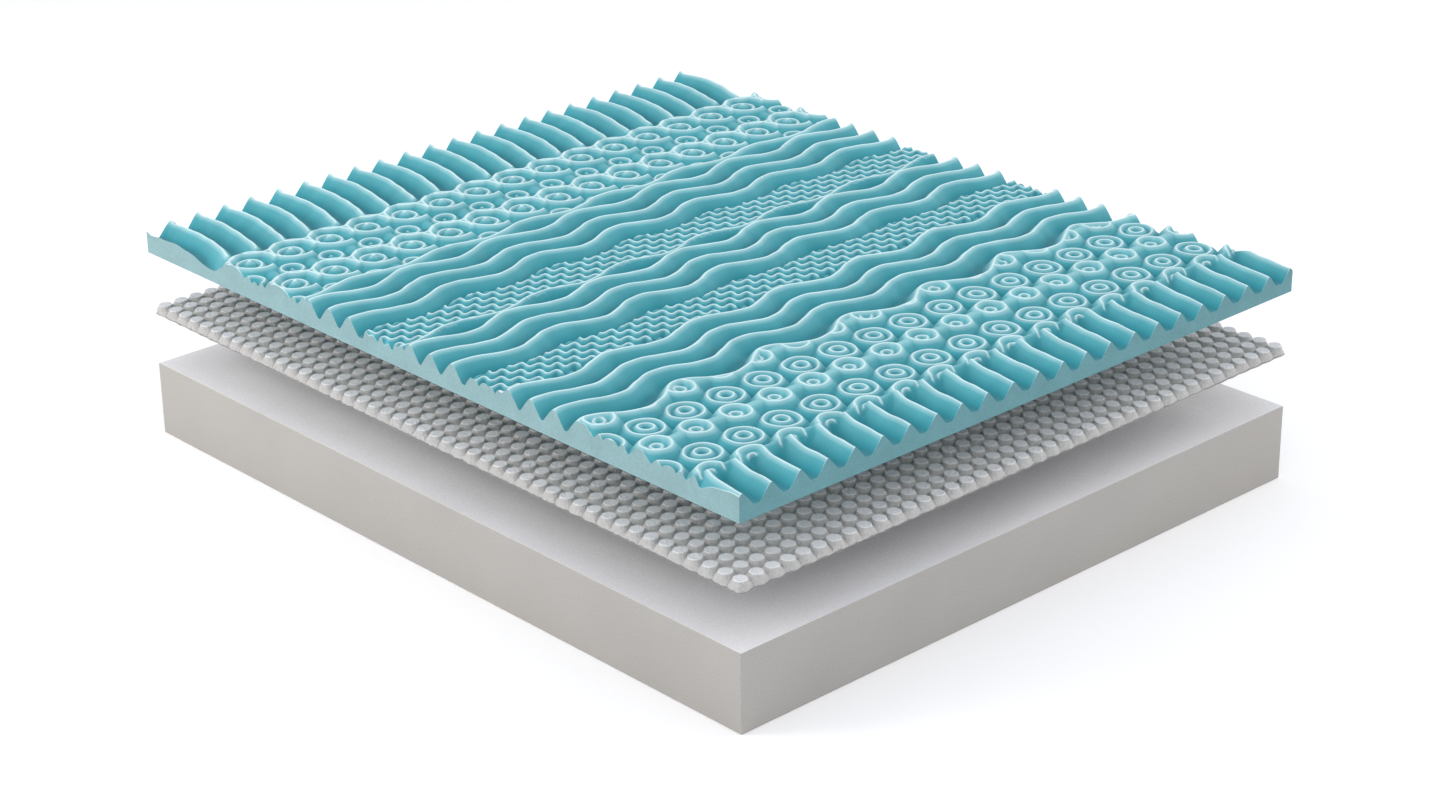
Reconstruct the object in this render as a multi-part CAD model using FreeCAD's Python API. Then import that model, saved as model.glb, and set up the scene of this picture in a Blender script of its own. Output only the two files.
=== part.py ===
import FreeCAD
import Part
import math
import os

# Memory foam mattress of three loose layers, for a 1600 x 1900 mm bed, shown lifted apart:
# a plain foam base, a pad of mini springs between two nonwoven sheets, and a contour-cut foam.
# Millimetres. X is the width, Y the length, +Z up; the origin is the centre of the base's underside.

# overall
WIDTH = 1600.0
LENGTH = 1900.0

# layers, and how far each is lifted off the one below
BASE_THICKNESS = 170.0
BASE_TO_PAD = 120.0
SHEET_THICKNESS = 0.8
SPRING_HEIGHT = 21.0
PAD_TO_CONTOUR = 122.0
CONTOUR_CORE = 20.0  # solid foam below the deepest cut
CONTOUR_RELIEF = 40.0  # from the deepest cut up to the crests

# mini springs
SPRING_ROWS = 47  # along the length
SPRINGS_PER_ROW = 40  # across the width
SPRING_DIAMETER = 30.0
SPRING_WIRE = 1.2

# contour foam, ends: comb ridges along the length, with a sloped outer edge
COMB_PITCH = 74.4
COMB_GROOVE_DEPTH = 34.0
END_SLOPE_LENGTH = 25.0
END_SLOPE_DROP = 12.0

# contour foam, next to the combs: rows of rings, large and small in turn, half a pitch apart
RING_ROWS = 4
RING_PITCH_ALONG = 82.0
RING_PITCH_ACROSS = 106.0
LARGE_RING_RADIUS = 42.0
SMALL_RING_RADIUS = 31.0
MOAT_WIDTH = 16.0
MOAT_DEPTH = 16.0
PIT_DEPTH = 10.0
SADDLE_RADIUS = 14.0
SADDLE_DEPTH = 26.0

# contour foam, middle: groups of tall ridges with fine ridges between them
MIDDLE_SHIFT = -20.0  # the middle zones lie a little towards -Y
TALL_GROUPS = 3
TALL_RIDGES = 3  # in each group
TALL_PITCH = 68.0
FINE_RIDGES = 5  # between two groups
FINE_PITCH = 25.0
FINE_CREST_DROP = 16.0  # fine crests lie this far below the tall ones
FINE_VALLEY_RISE = 8.0  # and their valleys this far above the deepest cut

OVERRUN = 5.0  # how far a cutting solid runs past what it cuts

# heights of the layers
pad_bottom = BASE_THICKNESS + BASE_TO_PAD
springs_bottom = pad_bottom + SHEET_THICKNESS
springs_top = springs_bottom + SPRING_HEIGHT
contour_bottom = springs_top + SHEET_THICKNESS + PAD_TO_CONTOUR
valley_height = contour_bottom + CONTOUR_CORE
crest_height = valley_height + CONTOUR_RELIEF

# ends of the middle zones along the length
tall_length = TALL_RIDGES * TALL_PITCH
fine_length = FINE_RIDGES * FINE_PITCH
middle_length = TALL_GROUPS * tall_length + (TALL_GROUPS - 1) * fine_length
middle_start = MIDDLE_SHIFT - middle_length / 2
middle_end = MIDDLE_SHIFT + middle_length / 2
ring_zone_length = RING_ROWS * RING_PITCH_ALONG


def slab(bottom, thickness):
    """A flat layer of the full width and length."""
    return Part.makeBox(WIDTH, LENGTH, thickness, FreeCAD.Vector(-WIDTH / 2, -LENGTH / 2, bottom))


def spring_row(y):
    """One row of mini springs across the width, each a plain sleeve of the coil's outside size."""
    pitch = WIDTH / SPRINGS_PER_ROW
    outside = SPRING_DIAMETER / 2
    inside = outside - SPRING_WIRE
    springs = []
    for number in range(SPRINGS_PER_ROW):
        x = (number + 0.5) * pitch - WIDTH / 2
        foot = FreeCAD.Vector(x, y, springs_bottom)
        body = Part.makeCylinder(outside, SPRING_HEIGHT, foot)
        springs.append(body.cut(Part.makeCylinder(inside, SPRING_HEIGHT, foot)))
    return Part.makeCompound(springs)


def ridge_points(start, count, pitch, crest, valley):
    """Side profile of a run of ridges: a crest and then a valley for each."""
    points = []
    for number in range(count):
        points.append((start + (number + 0.5) * pitch, crest))
        points.append((start + (number + 1) * pitch, valley))
    return points


def contour_blank():
    """The contour foam's side profile, carried straight across the width."""
    half = LENGTH / 2
    end_height = crest_height - END_SLOPE_DROP
    fine_crest = crest_height - FINE_CREST_DROP
    fine_valley = valley_height + FINE_VALLEY_RISE
    top = [
        (-half, end_height),
        (-half + END_SLOPE_LENGTH, crest_height),
        (middle_start - TALL_PITCH / 2, crest_height),
        (middle_start, valley_height),
    ]
    y = middle_start
    for group in range(TALL_GROUPS):
        top += ridge_points(y, TALL_RIDGES, TALL_PITCH, crest_height, valley_height)
        y += tall_length
        if group < TALL_GROUPS - 1:
            # the last fine valley is left out: the next tall ridge starts from full depth
            top += ridge_points(y, FINE_RIDGES, FINE_PITCH, fine_crest, fine_valley)[:-1]
            y += fine_length
            top.append((y, valley_height))
    top += [
        (middle_end + TALL_PITCH / 2, crest_height),
        (half - END_SLOPE_LENGTH, crest_height),
        (half, end_height),
    ]
    outline = [(-half, contour_bottom)] + top + [(half, contour_bottom), (-half, contour_bottom)]
    wire = Part.makePolygon([FreeCAD.Vector(-WIDTH / 2, py, pz) for py, pz in outline])
    return Part.Face(wire).extrude(FreeCAD.Vector(WIDTH, 0, 0))


def comb_grooves(start, length):
    """V grooves along the length over one end, centred on the width."""
    bottom = crest_height - COMB_GROOVE_DEPTH
    top = crest_height + OVERRUN
    reach = COMB_PITCH / 2 * (top - bottom) / COMB_GROOVE_DEPTH
    count = math.ceil(WIDTH / COMB_PITCH) + 1
    grooves = []
    for number in range(count):
        x = (number - (count - 1) / 2) * COMB_PITCH
        corners = [(x - reach, top), (x, bottom), (x + reach, top), (x - reach, top)]
        wire = Part.makePolygon([FreeCAD.Vector(px, start, pz) for px, pz in corners])
        grooves.append(Part.Face(wire).extrude(FreeCAD.Vector(0, length, 0)))
    return grooves


def cone_pit(x, y, radius, depth):
    """A cone that cuts a round pit of this radius at crest height."""
    foot = FreeCAD.Vector(x, y, crest_height - depth)
    return Part.makeCone(0, radius * (depth + OVERRUN) / depth, depth + OVERRUN, foot)


def ring_moat(x, y, radius):
    """The round V groove just inside a ring's crest."""
    middle = radius - MOAT_WIDTH / 2
    bottom = crest_height - MOAT_DEPTH
    top = crest_height + OVERRUN
    reach = MOAT_WIDTH / 2 * (top - bottom) / MOAT_DEPTH
    section = [(middle - reach, top), (middle, bottom), (middle + reach, top), (middle - reach, top)]
    wire = Part.makePolygon([FreeCAD.Vector(x + pr, y, pz) for pr, pz in section])
    return Part.Face(wire).revolve(FreeCAD.Vector(x, y, 0), FreeCAD.Vector(0, 0, 1), 360)


def ring_zone(start):
    """Cutting solids for one zone of rings, from its end towards -Y."""
    count = math.ceil(WIDTH / RING_PITCH_ACROSS) + 1
    tools = []
    for row in range(RING_ROWS):
        y = start + (row + 0.5) * RING_PITCH_ALONG
        radius = LARGE_RING_RADIUS if row % 2 == 0 else SMALL_RING_RADIUS
        shift = 0 if row % 2 == 0 else RING_PITCH_ACROSS / 2
        for number in range(count):
            x = (number - (count - 1) / 2) * RING_PITCH_ACROSS + shift
            tools.append(ring_moat(x, y, radius))
            tools.append(cone_pit(x, y, radius - MOAT_WIDTH - MOAT_WIDTH / 4, PIT_DEPTH))
            tools.append(cone_pit(x + RING_PITCH_ACROSS / 2, y, SADDLE_RADIUS, SADDLE_DEPTH))
    return tools


def contour_foam():
    """The contour-cut top layer: combs at the ends, rings, and cross ridges in the middle."""
    low_rings = middle_start - TALL_PITCH / 2 - ring_zone_length
    high_rings = middle_end + TALL_PITCH / 2
    low_end = -LENGTH / 2 - OVERRUN
    high_comb = high_rings + ring_zone_length
    foam = contour_blank()
    foam = foam.cut(comb_grooves(low_end, low_rings - low_end))
    foam = foam.cut(comb_grooves(high_comb, LENGTH / 2 + OVERRUN - high_comb))
    foam = foam.cut(ring_zone(low_rings))
    return foam.cut(ring_zone(high_rings))


def export(shape, node):
    shape.exportStep("parts/" + node + ".step")
    print(node, "solids", len(shape.Solids), "valid", shape.isValid())


os.makedirs("parts", exist_ok=True)
export(slab(0, BASE_THICKNESS), "base_foam")
export(slab(pad_bottom, SHEET_THICKNESS), "lower_nonwoven_sheet")
for row in range(SPRING_ROWS):
    row_y = (row + 0.5) * LENGTH / SPRING_ROWS - LENGTH / 2
    export(spring_row(row_y), "mini_spring_row_%02d" % (row + 1))
export(slab(springs_top, SHEET_THICKNESS), "upper_nonwoven_sheet")
export(contour_foam(), "contour_foam")
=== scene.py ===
import math

import bmesh
import bpy
import numpy as np
from mathutils import Matrix, Vector


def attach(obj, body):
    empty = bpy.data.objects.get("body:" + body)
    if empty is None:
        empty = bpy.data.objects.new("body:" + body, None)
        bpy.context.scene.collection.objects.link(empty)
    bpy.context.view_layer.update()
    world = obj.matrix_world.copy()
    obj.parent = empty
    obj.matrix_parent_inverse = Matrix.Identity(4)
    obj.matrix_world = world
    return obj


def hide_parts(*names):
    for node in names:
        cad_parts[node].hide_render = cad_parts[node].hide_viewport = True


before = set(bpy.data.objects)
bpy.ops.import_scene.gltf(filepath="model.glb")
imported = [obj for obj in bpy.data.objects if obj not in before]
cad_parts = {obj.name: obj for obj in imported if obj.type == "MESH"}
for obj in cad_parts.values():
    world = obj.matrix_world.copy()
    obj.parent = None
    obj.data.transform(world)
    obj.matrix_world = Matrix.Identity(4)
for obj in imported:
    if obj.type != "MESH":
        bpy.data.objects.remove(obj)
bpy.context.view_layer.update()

bpy.ops.object.select_all(action="DESELECT")
mm = 0.001
dice = np.random.default_rng(7)


def toLinear(hexColour):  # sRGB hex to the linear values a shader takes
    shares = [int(hexColour[i : i + 2], 16) / 255 for i in (1, 3, 5)]
    return tuple(c / 12.92 if c <= 0.04045 else ((c + 0.055) / 1.055) ** 2.4 for c in shares) + (1.0,)


def addNode(tree, kind, settings=None, values=None, links=None):
    node = tree.nodes.new(kind)
    for name, value in (settings or {}).items():
        setattr(node, name, value)
    for socket, value in (values or {}).items():
        node.inputs[socket].default_value = value
    for socket, source in (links or {}).items():
        tree.links.new(source, node.inputs[socket])
    return node


def newMaterial(name, values):
    material = bpy.data.materials.new(name)
    material.use_nodes = True
    shader = material.node_tree.nodes["Principled BSDF"]
    for socket, value in values.items():
        shader.inputs[socket].default_value = value
    return material, material.node_tree, shader


def setRamp(node, stops):  # stops: (position, colour)
    ramp = node.color_ramp
    while len(ramp.elements) < len(stops):
        ramp.elements.new(0.5)
    for element, (position, colour) in zip(ramp.elements, stops):
        element.position = position
        element.color = colour


def meshPiece(name, points, faces, materials):
    mesh = bpy.data.meshes.new(name)
    mesh.from_pydata(points, [], faces)
    for material in materials:
        mesh.materials.append(material)
    piece = bpy.data.objects.new(name, mesh)
    bpy.context.collection.objects.link(piece)
    return piece


def smoothPiece(piece, angle):
    bpy.ops.object.select_all(action="DESELECT")
    piece.select_set(True)
    bpy.context.view_layer.objects.active = piece
    bpy.ops.object.shade_smooth_by_angle(angle=math.radians(angle))
    piece.select_set(False)


# camera, floor and light

view = {"place": (-4.2004, -4.5942, 2.8717), "yaw": 47.30, "pitch": 23.80, "roll": -0.69, "lens": 77.15}
studio = {
    "floor": "#FCFCFC", "floorSize": 60.0,
    "sky": "#F2F6FF", "skyStrength": 0.62,
    "top": (235.0, 10.0, (-0.5, -0.5, 7.0), "#FAFCFF"),
    "key": (215.0, 3.2, (-5.0, 3.4, 3.0), "#FFFAF4"),
    "fill": (205.0, 3.2, (6.4, -2.6, 2.8), "#FFF9F2"),
    "front": (135.0, 4.5, (-4.4, -6.0, 4.0), "#FFFDFA"),
}

cameraData = bpy.data.cameras.new("camera")
cameraData.lens = view["lens"]
cameraData.sensor_width = 36.0
cameraData.clip_end = 200.0
camera = bpy.data.objects.new("camera", cameraData)
bpy.context.collection.objects.link(camera)
turn = Matrix.Rotation(math.radians(view["yaw"] - 90), 4, "Z")
turn = turn @ Matrix.Rotation(math.radians(90 - view["pitch"]), 4, "X")
turn = turn @ Matrix.Rotation(math.radians(view["roll"]), 4, "Z")
camera.matrix_world = Matrix.Translation(view["place"]) @ turn
bpy.context.scene.camera = camera

floorMaterial, floorTree, floorShader = newMaterial("paintedFloor", {
    "Base Color": toLinear(studio["floor"]), "Roughness": 0.9, "Specular IOR Level": 0.1})
bpy.ops.mesh.primitive_plane_add(size=studio["floorSize"], location=(0, 0, -0.0005))
floor = bpy.context.active_object
floor.name = "floor"
floor.data.materials.append(floorMaterial)
floor.select_set(False)

world = bpy.data.worlds.new("softSky")
bpy.context.scene.world = world
world.use_nodes = True
sky = world.node_tree.nodes["Background"]
sky.inputs["Color"].default_value = toLinear(studio["sky"])
sky.inputs["Strength"].default_value = studio["skyStrength"]


def addSoftbox(name, power, size, place, tint):
    data = bpy.data.lights.new(name, "AREA")
    data.energy = power
    data.size = size
    data.color = toLinear(tint)[:3]
    box = bpy.data.objects.new(name, data)
    bpy.context.collection.objects.link(box)
    box.location = place
    box.rotation_euler = (-Vector(place)).to_track_quat("-Z", "Y").to_euler()


for name in ("top", "key", "fill", "front"):
    addSoftbox(name + "Box", *studio[name])
bpy.context.scene.view_settings.view_transform = "Standard"
print("stage set")

# contour foam: waves, zigzags, rings and combs cut into a soft gel foam

contour = {
    "low": 0.4346, "cut": 60.0, "floor": 20.0, "soft": 1.2, "fade": 1.4,
    "blade": (1.4, 6.5), "combBlade": (1.2, 3.0), "ringBlade": (1.3, 3.5), "fineBlade": (1.35, 2.5),
    "step": 2.5, "skew": 34.0, "warp": 1.3,
    "wavePeriod": 237.0, "waveSwing": 17.0, "wavePhase": 25.0,
    "tallCrests": (583, 651, 719, 922, 987, 1054, 1230, 1297, 1364),
    "farEdge": (541, -12), "nearEdge": (1441, 25, 0.25),
    "combFar": {"pitch": 72.6, "first": 62, "end": 242, "sweep": 50},
    "combNear": {"pitch": 72.0, "first": 28, "start": 1752, "sweep": 40},
    "farRings": {"pitch": 105, "first": 52.5, "large": (299, 458), "small": (219, 378, 538)},
    "nearRings": {"pitch": 104, "first": 89, "large": (1517, 1676), "small": (1440, 1598, 1756)},
    "zigzag": {"period": 35.6, "spacing": 33.9, "swing": 8.5, "height": 49.5},
}
foamLength = 1900.0
foamWidth = 1600.0


def crestWave(across, swing, lean=0.0):
    angle = 2 * np.pi * (across - contour["wavePhase"]) / contour["wavePeriod"]
    return -swing * np.cos(angle + lean * np.sin(angle))


class Relief:
    # every crest is a rounded ridge with straight flanks; the foam's top is the soft highest of them all
    def __init__(self, along, across):
        self.along = along
        self.across = across
        self.total = np.zeros_like(along)
        self.ridges = []

    def add(self, distance, height, where, blade, cut=0.0, marked=True):
        slope, blunt = contour[blade]
        top = height - slope * (np.sqrt(distance ** 2 + blunt ** 2) - blunt) - cut
        self.total[where] += np.exp((top - contour["cut"]) / contour["soft"])
        if marked:
            self.ridges.append((where, distance, top))

    def height(self):
        top = contour["cut"] + contour["soft"] * np.log(self.total + 1e-12)
        return contour["floor"] + 2.0 * np.logaddexp(0, (top - contour["floor"]) / 2.0)

    # distance to the nearest crest still standing at the top, the mask of the painted crest highlight
    def crestDistance(self):
        top = self.height()
        nearest = np.full_like(self.along, 99.0)
        for where, distance, own in self.ridges:
            hidden = np.maximum(0, top[where] - own - 1.0) + 1.5 * np.maximum(0, 47.5 - top[where])
            nearest[where] = np.minimum(nearest[where], distance + hidden)
        return nearest


def waveCrest(relief, at, swing, lean=0.0, height=60.0):
    bend = (crestWave(relief.across + 1, swing, lean) - crestWave(relief.across - 1, swing, lean)) / 2
    distance = np.abs(relief.along - at - crestWave(relief.across, swing, lean)) / np.sqrt(1 + bend ** 2)
    where = np.nonzero(distance < 75)
    relief.add(distance[where], height, where, "blade")


def ringCrest(relief, at, across, radius, height, cut, first=None, last=None):
    x = relief.along - at
    y = relief.across - across
    where = np.nonzero(np.hypot(x, y) < radius + 55)
    x, y = x[where], y[where]
    distance = np.abs(np.hypot(x, y) - radius)
    if first is not None:
        middle, half = math.radians((first + last) / 2), math.radians((last - first) / 2)
        off = np.abs((np.arctan2(y, x) - middle + np.pi) % (2 * np.pi) - np.pi)
        ends = [
            np.hypot(x - radius * math.cos(middle + side * half), y - radius * math.sin(middle + side * half))
            for side in (-1, 1)]
        distance = np.where(off <= half, distance, np.minimum(*ends))
    relief.add(distance, height, where, "ringBlade", cut[where])


def saddle(relief, at, across, toAt, toAcross, height, cut):
    x, y = toAt - at, toAcross - across
    share = np.clip(((relief.along - at) * x + (relief.across - across) * y) / (x * x + y * y), 0, 1)
    distance = np.hypot(relief.along - at - share * x, relief.across - across - share * y)
    where = np.nonzero(distance < 45)
    relief.add(np.maximum(0, distance[where] - 5), height, where, "blade", cut[where], marked=False)


def cutCombs(relief):
    far, near = contour["combFar"], contour["combNear"]
    for number in range(-1, 24):
        # far end: straight from the cut edge, then swept over towards the rings
        push = np.clip((relief.along - 90) / 190, 0, 1.3)
        off = np.abs(relief.across - far["first"] - far["pitch"] * number + far["sweep"] * push ** 1.6)
        off = off / np.sqrt(1 + (0.42 * push ** 0.6) ** 2)
        distance = np.hypot(off, np.maximum(0, relief.along - far["end"]))
        where = np.nonzero(distance < 60)
        top = np.interp(relief.along[where], (0, 14, 70), (60, 55, 60))
        relief.add(distance[where], top, where, "combBlade")
        # near end: swept over where it leaves the rings, then straight to the cut edge
        push = np.clip((relief.along - near["start"]) / 90, 0, 1)
        off = relief.across - near["first"] - near["pitch"] * number
        off = np.abs(off + near["sweep"] * (push - 0.5 * push ** 2))
        off = off / np.sqrt(1 + (0.45 * (1 - push)) ** 2)
        distance = np.hypot(off, np.maximum(0, near["start"] - relief.along))
        where = np.nonzero(distance < 60)
        top = np.interp(relief.along[where], (1840, 1900), (60, 54))
        relief.add(distance[where], top, where, "combBlade")


def cutFarRings(relief):
    zone = contour["farRings"]
    edge = contour["farEdge"][0] + crestWave(relief.across, *contour["farEdge"][1:])
    cut = contour["fade"] * (np.maximum(0, 250 - relief.along) + 1.6 * np.maximum(0, relief.along - edge))
    for row in range(-1, 17):
        across = zone["first"] + zone["pitch"] * row
        for at in zone["large"]:
            ringCrest(relief, at, across, 50, 60, cut, 75, 380)
            ringCrest(relief, at + 1, across - 9, 27, 53, cut)
            ringCrest(relief, at - 1, across - 7, 2, 60, cut)
            saddle(relief, at + 50, across + 5, at + 109, across - 5, 50, cut)
        for at in zone["small"]:
            ringCrest(relief, at, across + 48, 52, 60, cut, -48, 48)
            ringCrest(relief, at - 3, across + 47, 25, 51, cut)
            ringCrest(relief, at - 3, across + 47, 0, 49, cut)


def cutNearRings(relief):
    zone = contour["nearRings"]
    edge = contour["nearEdge"][0] + crestWave(relief.across, *contour["nearEdge"][1:])
    cut = contour["fade"] * (1.6 * np.maximum(0, edge - relief.along) + np.maximum(0, relief.along - 1746))
    for row in range(-1, 17):
        across = zone["first"] + zone["pitch"] * row
        for at in zone["large"]:
            ringCrest(relief, at, across, 37, 52, cut)
            ringCrest(relief, at, across, 16, 52, cut)
        for at in zone["small"]:
            ringCrest(relief, at, across - 48, 31, 60, cut)
            ringCrest(relief, at, across - 48, 12, 53, cut)
            saddle(relief, at, across - 80, at, across - 120, 59, cut)


def cutZigzags(relief, low, high, lean):
    line = contour["zigzag"]
    period, spacing, swing = line["period"], line["spacing"], line["swing"]
    where = np.nonzero((relief.along > low - 60) & (relief.along < high + 60))
    along, across = relief.along[where], relief.across[where]
    u = (along + across) / math.sqrt(2)
    v = (across - along) / math.sqrt(2)
    nearest = np.full(along.shape, 99.0)
    for shift in (-1, 0, 1):
        number = np.round(v / spacing) + shift
        angle = 2 * np.pi * (u - number * spacing) / period
        off = np.abs(v - number * spacing + swing * np.cos(angle))
        bend = 2 * np.pi * swing / period * np.sin(angle)
        nearest = np.minimum(nearest, off / np.sqrt(1 + 0.8 * bend ** 2))
    wave = crestWave(across, contour["waveSwing"])
    cut = 1.0 * np.maximum(0, low + 0.5 * wave - along) + 0.9 * np.maximum(0, along - high - lean * wave)
    relief.add(nearest, line["height"], where, "fineBlade", cut)


def foamTop(along, across):
    drift = contour["skew"] * (1 - across / foamWidth) * np.clip(along / 250, 0, 1)
    warp = contour["warp"]
    shakeAlong = 0.6 * np.sin(across / 9.1 + 1.3 * np.sin(along / 23)) + np.sin(across / 31 + along / 47)
    shakeAcross = 0.6 * np.sin(along / 10.3 + 1.7 * np.sin(across / 19)) + np.sin(along / 37 - across / 53)
    relief = Relief(along - drift + warp * shakeAlong, across + warp * shakeAcross)
    cutCombs(relief)
    cutFarRings(relief)
    waveCrest(relief, *contour["farEdge"])
    for at in contour["tallCrests"]:
        waveCrest(relief, at, contour["waveSwing"])
    waveCrest(relief, *contour["nearEdge"])
    cutZigzags(relief, 770, 868, -0.75)
    waveCrest(relief, 868, -13, height=50.0)
    cutZigzags(relief, 1106, 1206, 0.0)
    cutNearRings(relief)
    return relief.height(), relief.crestDistance()


def buildContourFoam(topMaterial, litSideMaterial, shadedEndMaterial):
    step = contour["step"]
    columns = int(round(foamWidth / step)) + 1
    rows = int(round(foamLength / step)) + 1
    across, along = np.meshgrid(np.linspace(0, foamWidth, columns), np.linspace(0, foamLength, rows))
    height, crest = foamTop(along, across)
    # the top's rim along the cut edge gets the painted crest highlight too
    for rim in (np.s_[0], np.s_[-1], np.s_[:, 0], np.s_[:, -1]):
        crest[rim] = np.minimum(crest[rim], 0.6)
    x = across * mm - 0.8
    y = 0.95 - along * mm
    top = np.stack([x, y, contour["low"] + height * mm], -1).reshape(-1, 3)
    number = np.arange(rows * columns).reshape(rows, columns)
    quads = np.stack([number[:-1, :-1], number[1:, :-1], number[1:, 1:], number[:-1, 1:]], -1).reshape(-1, 4)
    rim = np.concatenate([number[:, 0], number[-1, 1:], number[::-1, -1][1:], number[0, ::-1][1:-1]])
    foot = top[rim].copy()
    foot[:, 2] = contour["low"]
    base = rows * columns
    footNumber = base + np.arange(len(rim))
    walls = np.stack([rim, footNumber, np.roll(footNumber, -1), np.roll(rim, -1)], -1)
    faces = quads.tolist() + walls.tolist() + [footNumber[::-1].tolist()]
    piece = meshPiece("contourFoam", np.concatenate([top, foot]).tolist(), faces, [
        topMaterial, litSideMaterial, shadedEndMaterial])
    mesh = piece.data
    slots = np.ones(len(faces), dtype=np.int32)
    slots[: len(quads)] = 0
    # the end walls take the darker copy of the cut foam as painted shade
    wallEnds = np.abs(np.abs(foot[:, 1] + np.roll(foot, -1, 0)[:, 1]) - 1.9) < 0.001
    slots[len(quads) : -1][wallEnds] = 2
    mesh.polygons.foreach_set("material_index", slots)
    # the crest distance is kept per point for the painted crest highlight
    attribute = mesh.attributes.new("crest", "FLOAT", "POINT")
    values = np.concatenate([crest.reshape(-1), np.full(len(rim), 99.0)])
    attribute.data.foreach_set("value", values.astype(np.float32))
    smoothPiece(piece, 50)
    return piece


gelFoam = {
    "valley": "#296F79", "flank": "#2E8E9B", "upper": "#4C9DA7", "browHighlight": "#7CB6BD", "crest": "#D4E9EB",
    # painted light: the side-cut tones are a lit copy and the end-cut tones a darker, shaded copy of one cut
    # foam
    "litSideCut": ("#719397", "#7EA0A4", "#8DAEB2"), "shadedEndCut": ("#4D7D83", "#5A8B92", "#679AA1"),
    "crestFade": ((0.0, 0.9), (0.10, 0.72), (0.26, 0.22), (0.8, 0.0)),
    "cellSize": 2.2, "mottle": 60.0,
}


def makeGelFoam(name, cutTones=()):
    # gel memory foam, blade cut: matt, open cells on the cut; on the top, painted shade darkens the valleys
    # and painted highlight lightens the brows and runs softly bright along the thin crests
    material, tree, shader = newMaterial(name, {
        "Roughness": 0.85, "Specular IOR Level": 0.25, "Sheen Weight": 0.15, "Sheen Roughness": 0.6})
    place = addNode(tree, "ShaderNodeTexCoord").outputs["Object"]
    cells = addNode(tree, "ShaderNodeTexNoise", values={
        "Scale": 1000 / gelFoam["cellSize"], "Detail": 3.0, "Roughness": 0.6}, links={"Vector": place})
    mottle = addNode(tree, "ShaderNodeTexNoise", values={
        "Scale": 1000 / gelFoam["mottle"], "Detail": 3.0}, links={"Vector": place})
    if cutTones:
        body = addNode(tree, "ShaderNodeValToRGB", links={"Fac": cells.outputs["Fac"]})
        setRamp(body, [(0.25 + 0.25 * step, toLinear(tone)) for step, tone in enumerate(cutTones)])
        colour = body.outputs["Color"]
    else:
        # painted shade and painted highlight: the top's tone darkens with depth into the valleys and lightens
        # up onto the brows
        split = addNode(tree, "ShaderNodeSeparateXYZ", links={"Vector": place})
        level = addNode(tree, "ShaderNodeMapRange", values={
            "From Min": contour["low"] + 0.020, "From Max": contour["low"] + 0.060}, links={
            "Value": split.outputs["Z"]})
        body = addNode(tree, "ShaderNodeValToRGB", links={"Fac": level.outputs["Result"]})
        setRamp(body, [
            (0.0, toLinear(gelFoam["valley"])), (0.35, toLinear(gelFoam["flank"])),
            (0.78, toLinear(gelFoam["upper"])), (1.0, toLinear(gelFoam["browHighlight"]))])
        # painted highlight: a pale line along each crest, fading away from it
        near = addNode(tree, "ShaderNodeAttribute", {"attribute_name": "crest"})
        reach = addNode(tree, "ShaderNodeMapRange", values={
            "From Min": 0.0, "From Max": 12.0}, links={"Value": near.outputs["Fac"]})
        line = addNode(tree, "ShaderNodeValToRGB", links={"Fac": reach.outputs["Result"]})
        setRamp(line, [(at, (share, share, share, 1)) for at, share in gelFoam["crestFade"]])
        mixed = addNode(tree, "ShaderNodeMix", {"data_type": "RGBA"}, links={
            "Factor": line.outputs["Color"], "A": body.outputs["Color"]})
        mixed.inputs["B"].default_value = toLinear(gelFoam["crest"])
        colour = mixed.outputs["Result"]
    shade = addNode(tree, "ShaderNodeMapRange", values={
        "From Min": 0.3, "From Max": 0.7, "To Min": 0.93, "To Max": 1.05}, links={
        "Value": mottle.outputs["Fac"]})
    tint = addNode(tree, "ShaderNodeVectorMath", {"operation": "SCALE"}, links={
        "Vector": colour, "Scale": shade.outputs["Result"]})
    bump = addNode(tree, "ShaderNodeBump", values={"Strength": 0.35, "Distance": 0.0006}, links={
        "Height": cells.outputs["Fac"]})
    tree.links.new(tint.outputs["Vector"], shader.inputs["Base Color"])
    tree.links.new(bump.outputs["Normal"], shader.inputs["Normal"])
    return material


contourFoam = buildContourFoam(
    makeGelFoam("gelMemoryFoamTop"), makeGelFoam("gelMemoryFoamLitSideCut", gelFoam["litSideCut"]),
    makeGelFoam("gelMemoryFoamShadedEndCut", gelFoam["shadedEndCut"]))
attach(contourFoam, "top_foam")
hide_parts("contour_foam")
print("contour foam cut")

# base foam: a plain block

block = {"corner": 0.0025, "height": 0.170}


def makeBaseFoam(name, tones):
    # polyurethane foam: matt pale grey with fine open cells and a faint drift of tone
    material, tree, shader = newMaterial(name, {"Roughness": 0.95, "Specular IOR Level": 0.2})
    place = addNode(tree, "ShaderNodeTexCoord").outputs["Object"]
    cells = addNode(tree, "ShaderNodeTexNoise", values={"Scale": 420.0, "Detail": 3.0}, links={
        "Vector": place})
    drift = addNode(tree, "ShaderNodeTexNoise", values={"Scale": 5.0, "Detail": 3.0}, links={"Vector": place})
    body = addNode(tree, "ShaderNodeValToRGB", links={"Fac": cells.outputs["Fac"]})
    setRamp(body, [(0.3 + 0.2 * step, toLinear(tone)) for step, tone in enumerate(tones)])
    shade = addNode(tree, "ShaderNodeMapRange", values={
        "From Min": 0.3, "From Max": 0.7, "To Min": 0.97, "To Max": 1.02}, links={
        "Value": drift.outputs["Fac"]})
    tint = addNode(tree, "ShaderNodeVectorMath", {"operation": "SCALE"}, links={
        "Vector": body.outputs["Color"], "Scale": shade.outputs["Result"]})
    bump = addNode(tree, "ShaderNodeBump", values={"Strength": 0.3, "Distance": 0.0006}, links={
        "Height": cells.outputs["Fac"]})
    tree.links.new(tint.outputs["Vector"], shader.inputs["Base Color"])
    tree.links.new(bump.outputs["Normal"], shader.inputs["Normal"])
    return material


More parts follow.
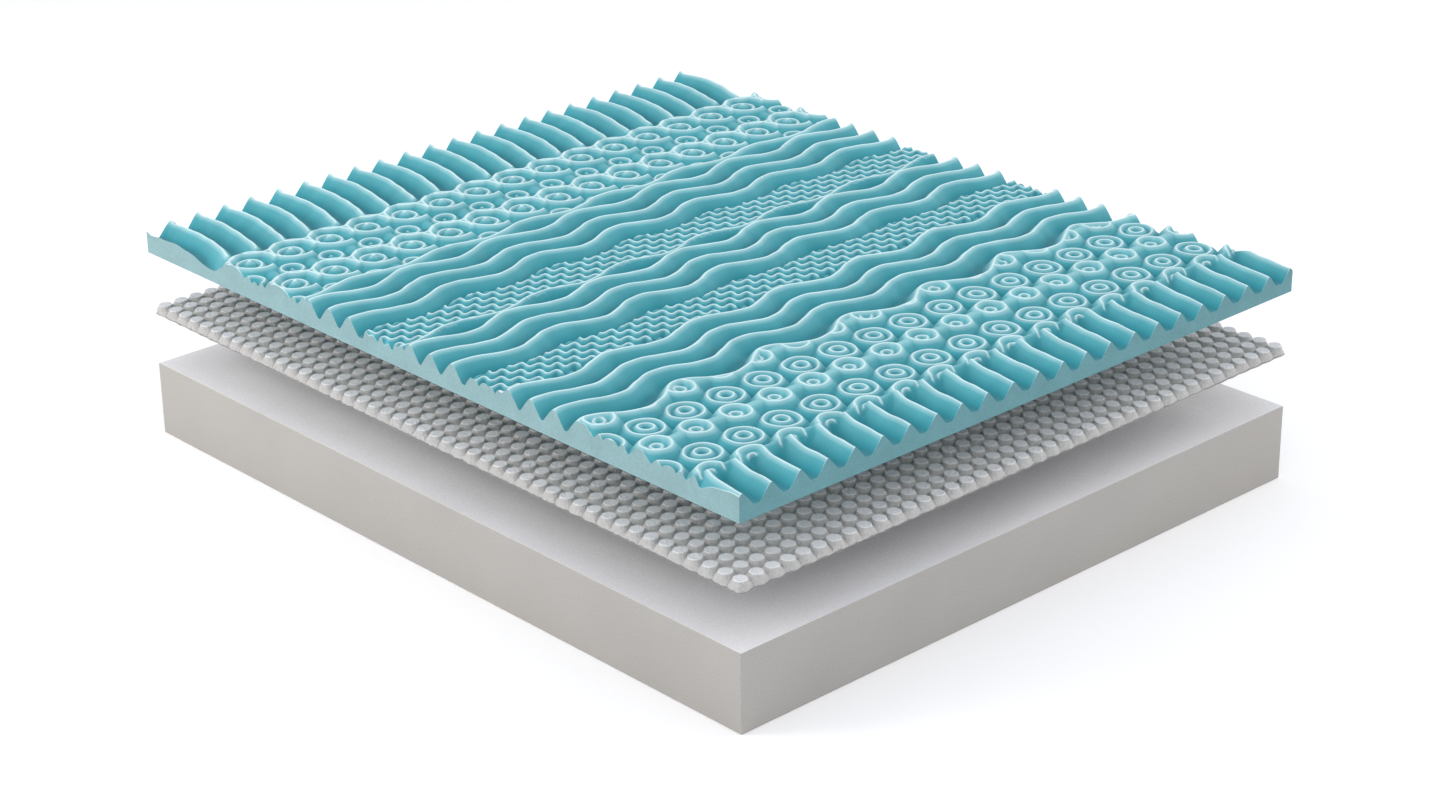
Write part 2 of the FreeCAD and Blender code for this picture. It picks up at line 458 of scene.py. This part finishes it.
bpy.ops.mesh.primitive_cube_add(size=1.0, location=(0, 0, block["height"] / 2))
baseFoam = bpy.context.active_object
baseFoam.name = "baseFoam"
baseFoam.dimensions = (1.6, 1.9, block["height"])
bpy.ops.object.transform_apply(location=True, rotation=True, scale=True)
softEdge = baseFoam.modifiers.new("softEdge", "BEVEL")
softEdge.width = block["corner"]
softEdge.segments = 3
bpy.ops.object.modifier_apply(modifier="softEdge")
# painted light: the sides take a darker, shaded copy and the top a lighter, lit copy of one foam
baseFoam.data.materials.append(makeBaseFoam("polyurethaneFoamShadedSide", ("#9D9A96", "#A8A5A1", "#B1AEAA")))
baseFoam.data.materials.append(makeBaseFoam("polyurethaneFoamLitTop", ("#CFCFD0", "#D8D8DA", "#E0E0E2")))
for face in baseFoam.data.polygons:
    face.material_index = 1 if abs(face.normal.z) > 0.9 else 0
smoothPiece(baseFoam, 40)
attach(baseFoam, "base")
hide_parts("base_foam")
print("base foam cut")

# spring pad: two nonwoven sheets with small coils in welded pockets between them

pad = {
    "across": 40, "rows": 47, "low": 290.8, "top": 312.3, "disc": 14.2, "skirt": 16.6, "skirtHeight": 15.5,
    "midHeight": 11.5, "weldHeight": 5.0, "upperFlat": (1.925, 2.280), "lowerFlat": (1.6, 1.9),
}
pitchX = foamWidth / pad["across"]
pitchY = foamLength / pad["rows"]


def makeNonwoven():
    # spunbond polypropylene: thin matt felt with faint crumpled fibres, painted lighter on the disc tops as
    # painted light and darker on the skirts between them as painted shade
    material, tree, shader = newMaterial("spunbondNonwoven", {
        "Roughness": 0.7, "Specular IOR Level": 0.35, "Sheen Weight": 0.1})
    place = addNode(tree, "ShaderNodeTexCoord").outputs["Object"]
    fibres = addNode(tree, "ShaderNodeTexNoise", values={
        "Scale": 260.0, "Detail": 4.0, "Roughness": 0.65, "Distortion": 1.5}, links={"Vector": place})
    folds = addNode(tree, "ShaderNodeTexNoise", values={
        "Scale": 70.0, "Detail": 2.0, "Distortion": 2.0}, links={"Vector": place})
    # painted shade: the skirts and folds between the discs take these darker tones
    shadedSkirtTone = addNode(tree, "ShaderNodeValToRGB", links={"Fac": fibres.outputs["Fac"]})
    setRamp(shadedSkirtTone, [(0.3, toLinear("#A3A2A0")), (0.5, toLinear("#B4B3B1")), (0.7, toLinear("#C5C4C2"))])
    # painted light: the disc tops take these lighter tones
    litDiscTone = addNode(tree, "ShaderNodeValToRGB", links={"Fac": fibres.outputs["Fac"]})
    setRamp(litDiscTone, [(0.3, toLinear("#D6D6D8")), (0.5, toLinear("#E0E0E2")), (0.7, toLinear("#EBEBED"))])
    litDisc = addNode(tree, "ShaderNodeAttribute", {"attribute_name": "litDisc"})
    onTop = addNode(tree, "ShaderNodeMapRange", {"interpolation_type": "SMOOTHSTEP"}, {
        "From Min": 0.55, "From Max": 0.95}, {"Value": litDisc.outputs["Fac"]})
    body = addNode(tree, "ShaderNodeMix", {"data_type": "RGBA"}, links={
        "Factor": onTop.outputs["Result"], "A": shadedSkirtTone.outputs["Color"], "B": litDiscTone.outputs["Color"]})
    mixed = addNode(tree, "ShaderNodeMath", {"operation": "MULTIPLY_ADD"}, {1: 0.3}, {
        0: fibres.outputs["Fac"], 2: folds.outputs["Fac"]})
    bump = addNode(tree, "ShaderNodeBump", values={"Strength": 0.8, "Distance": 0.004}, links={
        "Height": mixed.outputs["Value"]})
    tree.links.new(body.outputs["Result"], shader.inputs["Base Color"])
    tree.links.new(bump.outputs["Normal"], shader.inputs["Normal"])
    return material


def buildUpperSheet(material):
    # one polar patch per pocket: flat disc, shoulder, skirt, and a square border the neighbours share
    points = []
    onDisc = []
    faces = []
    sides = 16
    for row in range(pad["rows"]):
        for column in range(pad["across"]):
            onEdge = row in (0, pad["rows"] - 1) or column in (0, pad["across"] - 1)
            folds = 4 if onEdge else 1
            middleX = (column + 0.5) * pitchX - foamWidth / 2
            middleY = (row + 0.5) * pitchY - foamLength / 2
            tiltX, tiltY, sink = dice.normal(0, 0.016), dice.normal(0, 0.016), dice.uniform(0, 0.6)
            shiftX, shiftY = dice.normal(0, 0.4, 2)
            first = len(points)
            onDisc.append(1.0)
            points.append((middleX + shiftX, middleY + shiftY, pad["top"] - sink))
            for ring in range(folds + 2):
                share = (ring - 1) / folds
                for side in range(sides):
                    angle = 2 * math.pi * side / sides
                    unitX, unitY = math.cos(angle), math.sin(angle)
                    reach = (pad["disc"] if ring == 0 else pad["skirt"]) + dice.normal(0, 0.3)
                    x, y = middleX + shiftX + reach * unitX, middleY + shiftY + reach * unitY
                    if ring == 0:
                        z = pad["top"] - 0.1 - sink + tiltX * reach * unitX + tiltY * reach * unitY
                        points.append((x, y, min(z, pad["top"] + 0.2)))
                        onDisc.append(1.0)
                        continue
                    z = pad["low"] + pad["skirtHeight"] + dice.normal(0, 0.5)
                    big = max(abs(unitX), abs(unitY))
                    nearCorner = min(abs(unitX), abs(unitY)) / big
                    borderX = middleX + unitX / big * pitchX / 2
                    borderY = middleY + unitY / big * pitchY / 2
                    borderZ = pad["low"] + pad["midHeight"]
                    borderZ += (pad["weldHeight"] - pad["midHeight"]) * nearCorner ** 1.6
                    outX = abs(borderX) > foamWidth / 2 - 0.01
                    outY = abs(borderY) > foamLength / 2 - 0.01
                    if outX or outY:
                        crumple = math.sin(borderX * 0.31 + borderY * 0.53)
                        crumple *= math.sin(borderX * 0.17 - borderY * 0.23)
                        tuck = 2.2 + 2.0 * nearCorner ** 2 + 1.4 * crumple
                        borderZ = pad["low"] + 0.7 + 0.6 * crumple
                        borderX -= math.copysign(tuck, borderX) if outX else 0
                        borderY -= math.copysign(tuck, borderY) if outY else 0
                    crease = dice.normal(0, 0.9) if 0 < share < 1 else 0
                    bulge = 1.6 * share * (1 - share) + crease * (0.5 if onEdge else 0)
                    x += (borderX - x) * share + bulge * unitX
                    y += (borderY - y) * share + bulge * unitY
                    z += (borderZ - z) * share + 0.4 * crease
                    points.append((x, y, z))
                    onDisc.append(0.0)
            for side in range(sides):
                a, b = first + 1 + side, first + 1 + (side + 1) % sides
                faces.append((first, a, b))
                for ring in range(folds + 1):
                    c, d = a + sides, b + sides
                    faces.append((a, c, d, b))
                    a, b = c, d
    scaled = (np.array(points) * mm).tolist()
    sheet = meshPiece("upperSheet", scaled, faces, [material])
    # marks the disc-top points that take the painted light
    litDisc = sheet.data.attributes.new("litDisc", "FLOAT", "POINT")
    litDisc.data.foreach_set("value", np.array(onDisc, dtype=np.float32))
    shape = bmesh.new()
    shape.from_mesh(sheet.data)
    bmesh.ops.remove_doubles(shape, verts=shape.verts, dist=0.00005)
    shape.to_mesh(sheet.data)
    shape.free()
    smoothPiece(sheet, 40)
    return sheet


def buildLowerSheet(material):
    columns, rows = 161, 189
    across, along = np.meshgrid(np.linspace(-1, 1, columns), np.linspace(-1, 1, rows))
    edgeX = foamWidth / 2 - 1.0 - 1.2 * np.cos(2 * np.pi * (along + 1) / 2 * pad["rows"])
    edgeY = foamLength / 2 - 1.0 - 1.2 * np.cos(2 * np.pi * (across + 1) / 2 * pad["across"])
    x = across * np.where(np.abs(across) > 0.99, edgeX, foamWidth / 2)
    y = along * np.where(np.abs(along) > 0.99, edgeY, foamLength / 2)
    z = 290.35 + 0.25 * np.sin(across * 31 + 2 * np.sin(along * 17)) * np.cos(along * 37)
    top = np.stack([x, y, z + 0.2], -1).reshape(-1, 3) * mm
    number = np.arange(rows * columns).reshape(rows, columns)
    quads = np.stack([number[:-1, :-1], number[:-1, 1:], number[1:, 1:], number[1:, :-1]], -1).reshape(-1, 4)
    sheet = meshPiece("lowerSheet", top.tolist(), quads.tolist(), [material])
    smoothPiece(sheet, 60)
    return sheet


nonwoven = makeNonwoven()
upperSheet = buildUpperSheet(nonwoven)
lowerSheet = buildLowerSheet(nonwoven)
upperArea = sum(face.area for face in upperSheet.data.polygons)
print("upper sheet area", round(upperArea, 3))
for sheet, node, flat in (
        (upperSheet, "upper_nonwoven_sheet", pad["upperFlat"]),
        (lowerSheet, "lower_nonwoven_sheet", pad["lowerFlat"])):
    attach(sheet, "spring_pad")
    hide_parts(node)
print("nonwoven sheets laid")

# mini coil springs

coil = {"radius": 13.0, "wire": 1.2, "turns": 3, "steps": 7, "height": 19.8}


def makeSpringSteel():
    # drawn carbon spring steel wire: bright grey metal with a soft gleam
    material, tree, shader = newMaterial("springSteelWire", {
        "Base Color": toLinear("#A8A9AB"), "Metallic": 1.0, "Roughness": 0.35})
    place = addNode(tree, "ShaderNodeTexCoord").outputs["Object"]
    marks = addNode(tree, "ShaderNodeTexNoise", values={"Scale": 900.0, "Detail": 2.0}, links={
        "Vector": place})
    rough = addNode(tree, "ShaderNodeMapRange", values={
        "From Min": 0.3, "From Max": 0.7, "To Min": 0.28, "To Max": 0.42}, links={
        "Value": marks.outputs["Fac"]})
    tree.links.new(rough.outputs["Result"], shader.inputs["Roughness"])
    return material


def buildCoilRow(material):
    bpy.ops.object.select_all(action="DESELECT")
    bpy.ops.mesh.primitive_circle_add(
        vertices=3, radius=coil["wire"] / 2 * mm, fill_type="NOTHING", rotation=(math.pi / 2, 0, 0),
        location=(coil["radius"] * mm, 0, 0))
    row = bpy.context.active_object
    bpy.ops.object.transform_apply(location=True, rotation=True, scale=True)
    wind = row.modifiers.new("wind", "SCREW")
    wind.steps = wind.render_steps = coil["steps"]
    wind.iterations = coil["turns"]
    wind.screw_offset = (coil["height"] - coil["wire"]) / coil["turns"] * mm
    bpy.ops.object.modifier_apply(modifier="wind")
    bpy.ops.object.mode_set(mode="EDIT")
    bpy.ops.mesh.select_all(action="SELECT")
    bpy.ops.mesh.fill_holes(sides=4)
    bpy.ops.mesh.select_all(action="SELECT")
    bpy.ops.mesh.normals_make_consistent(inside=False)
    bpy.ops.object.mode_set(mode="OBJECT")
    line = row.modifiers.new("line", "ARRAY")
    line.count = pad["across"]
    line.use_relative_offset = False
    line.use_constant_offset = True
    line.constant_offset_displace = (pitchX * mm, 0, 0)
    bpy.ops.object.modifier_apply(modifier="line")
    row.data.materials.append(material)
    smoothPiece(row, 80)
    return row


firstRow = buildCoilRow(makeSpringSteel())
print("coil row faces", len(firstRow.data.polygons))
for number in range(pad["rows"]):
    if number < pad["rows"] - 1:
        coils = bpy.data.objects.new("coils", firstRow.data.copy())
        bpy.context.collection.objects.link(coils)
    else:
        coils = firstRow
    coils.name = "springCoils%02d" % (number + 1)
    placeX = (-foamWidth / 2 + pitchX / 2) * mm
    placeY = (-foamLength / 2 + (number + 0.5) * pitchY) * mm
    coils.data.transform(Matrix.Translation((placeX, placeY, (pad["low"] + coil["wire"] / 2) * mm)))
    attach(coils, "spring_pad")
    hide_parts("mini_spring_row_%02d" % (number + 1))
print("springs wound")
